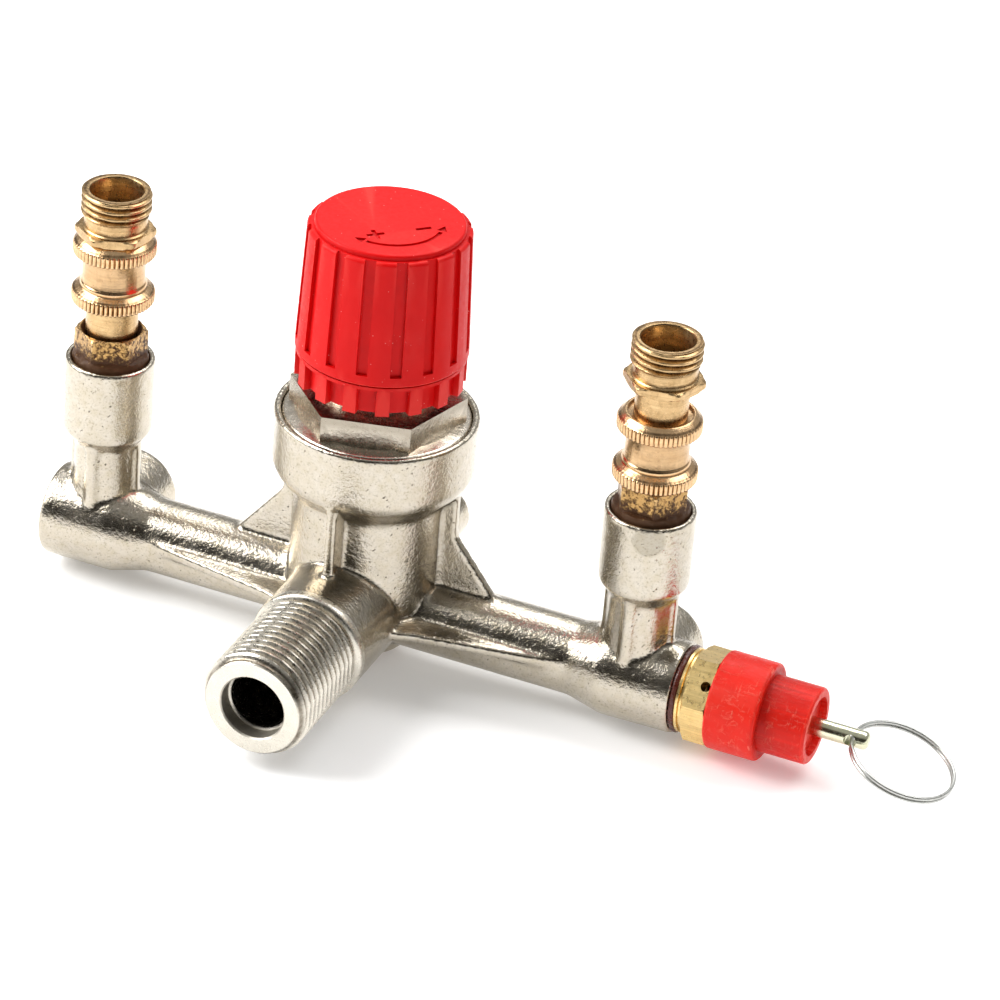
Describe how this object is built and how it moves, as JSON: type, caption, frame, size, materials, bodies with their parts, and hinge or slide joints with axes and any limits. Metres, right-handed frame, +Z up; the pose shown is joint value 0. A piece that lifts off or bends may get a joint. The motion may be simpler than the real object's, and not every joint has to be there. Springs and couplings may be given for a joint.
{
  "type": "air manifold with regulator and relief valve",
  "caption": "Compressor outlet manifold: pressure regulator with red knob, brass hand-slide shut-off valves, threaded ports and a ring-pull safety relief valve on one end.",
  "frame": {"origin": "centre of the flat round foot under the regulator body, on the knob's axis", "axes": "+Z up the knob axis, +X along the tube towards the relief valve, -Y out of the inlet spigot"},
  "size_m": [0.1815, 0.0681, 0.0898],
  "materials": {
    "nickel_casting": "nickel plate over zinc die casting, satin with small cast pits",
    "chrome": "bright chrome plate",
    "brass": "machined yellow brass",
    "polished_brass": "polished, pinkish gold brass",
    "stained_brass": "dull brown brass with sealant residue",
    "zinc_steel": "yellowish zinc plated steel",
    "spring_steel": "drawn wire",
    "red_plastic": "semi-gloss moulded red plastic",
    "red_cap": "red with scuffs",
    "black_rubber": "matte moulded rubber",
    "sealant": "dark red-brown gasket and sealant"
  },
  "bodies": {
    "manifold": {"manifold_casting": "nickel_casting", "bonnet": "chrome", "bottom_plug": "brass", "bottom_plug_seal": "black_rubber", "valve_seat": "brass", "diaphragm": "black_rubber", "poppet_spring": "spring_steel", "range_spring": "spring_steel", "knob_friction_ring": "black_rubber", "left_valve_base": "stained_brass", "left_valve_tube": "brass", "right_valve_base": "stained_brass", "right_valve_tube": "brass", "relief_gasket": "sealant", "relief_body": "brass", "relief_cap": "red_cap", "relief_spring": "spring_steel"},
    "adjuster": {"adjusting_screw": "zinc_steel", "thrust_washer": "spring_steel"},
    "knob": {"knob": "red_plastic"},
    "spring_nut": {"spring_nut": "brass"},
    "poppet": {"poppet": "brass", "poppet_disc": "black_rubber", "diaphragm_rivet": "brass", "spring_plate": "zinc_steel"},
    "left_sleeve": {"left_sleeve": "polished_brass", "left_sleeve_orings": "black_rubber"},
    "right_sleeve": {"right_sleeve": "polished_brass", "right_sleeve_orings": "black_rubber"},
    "relief_stem": {"relief_stem": "zinc_steel", "relief_poppet": "brass", "relief_disc": "black_rubber"},
    "pull_ring": {"pull_ring": "spring_steel"}
  },
  "joints": [
    {"name": "adjuster_turn", "type": "hinge", "parent": "manifold", "child": "adjuster", "pos_m": [0, 0, 0.078], "axis": [0, 0, 1], "range_deg": [-1440, 360]},
    {"name": "knob_lock", "type": "slide", "parent": "adjuster", "child": "knob", "axis": [0, 0, 1], "range_m": [-0.002, 0]},
    {"name": "spring_nut_travel", "type": "slide", "parent": "manifold", "child": "spring_nut", "axis": [0, 0, 1], "range_m": [-0.00502, 0.00127], "deforming": ["range_spring"]},
    {"name": "poppet_travel", "type": "slide", "parent": "manifold", "child": "poppet", "axis": [0, 0, 1], "range_m": [-0.0008, 0], "stiffness_N_per_m": 1500, "springref_m": 0.002, "deforming": ["poppet_spring", "diaphragm"]},
    {"name": "left_sleeve_slide", "type": "slide", "parent": "manifold", "child": "left_sleeve", "axis": [0, 0, 1], "range_m": [-0.0055, 0]},
    {"name": "right_sleeve_slide", "type": "slide", "parent": "manifold", "child": "right_sleeve", "axis": [0, 0, 1], "range_m": [0, 0.0055]},
    {"name": "relief_pull", "type": "slide", "parent": "manifold", "child": "relief_stem", "axis": [1, 0, 0], "range_m": [0, 0.0025], "stiffness_N_per_m": 3000, "springref_m": -0.004, "deforming": ["relief_spring"]},
    {"name": "ring_swing", "type": "hinge", "parent": "relief_stem", "child": "pull_ring", "pos_m": [0.0976, 0, 0.0106], "axis": [0, 1, 0], "range_deg": [-115, 75]}
  ],
  "couplings": [
    {"joint": "spring_nut_travel", "follows": "adjuster_turn", "m_per_rad": 0.00019894}
  ]
}
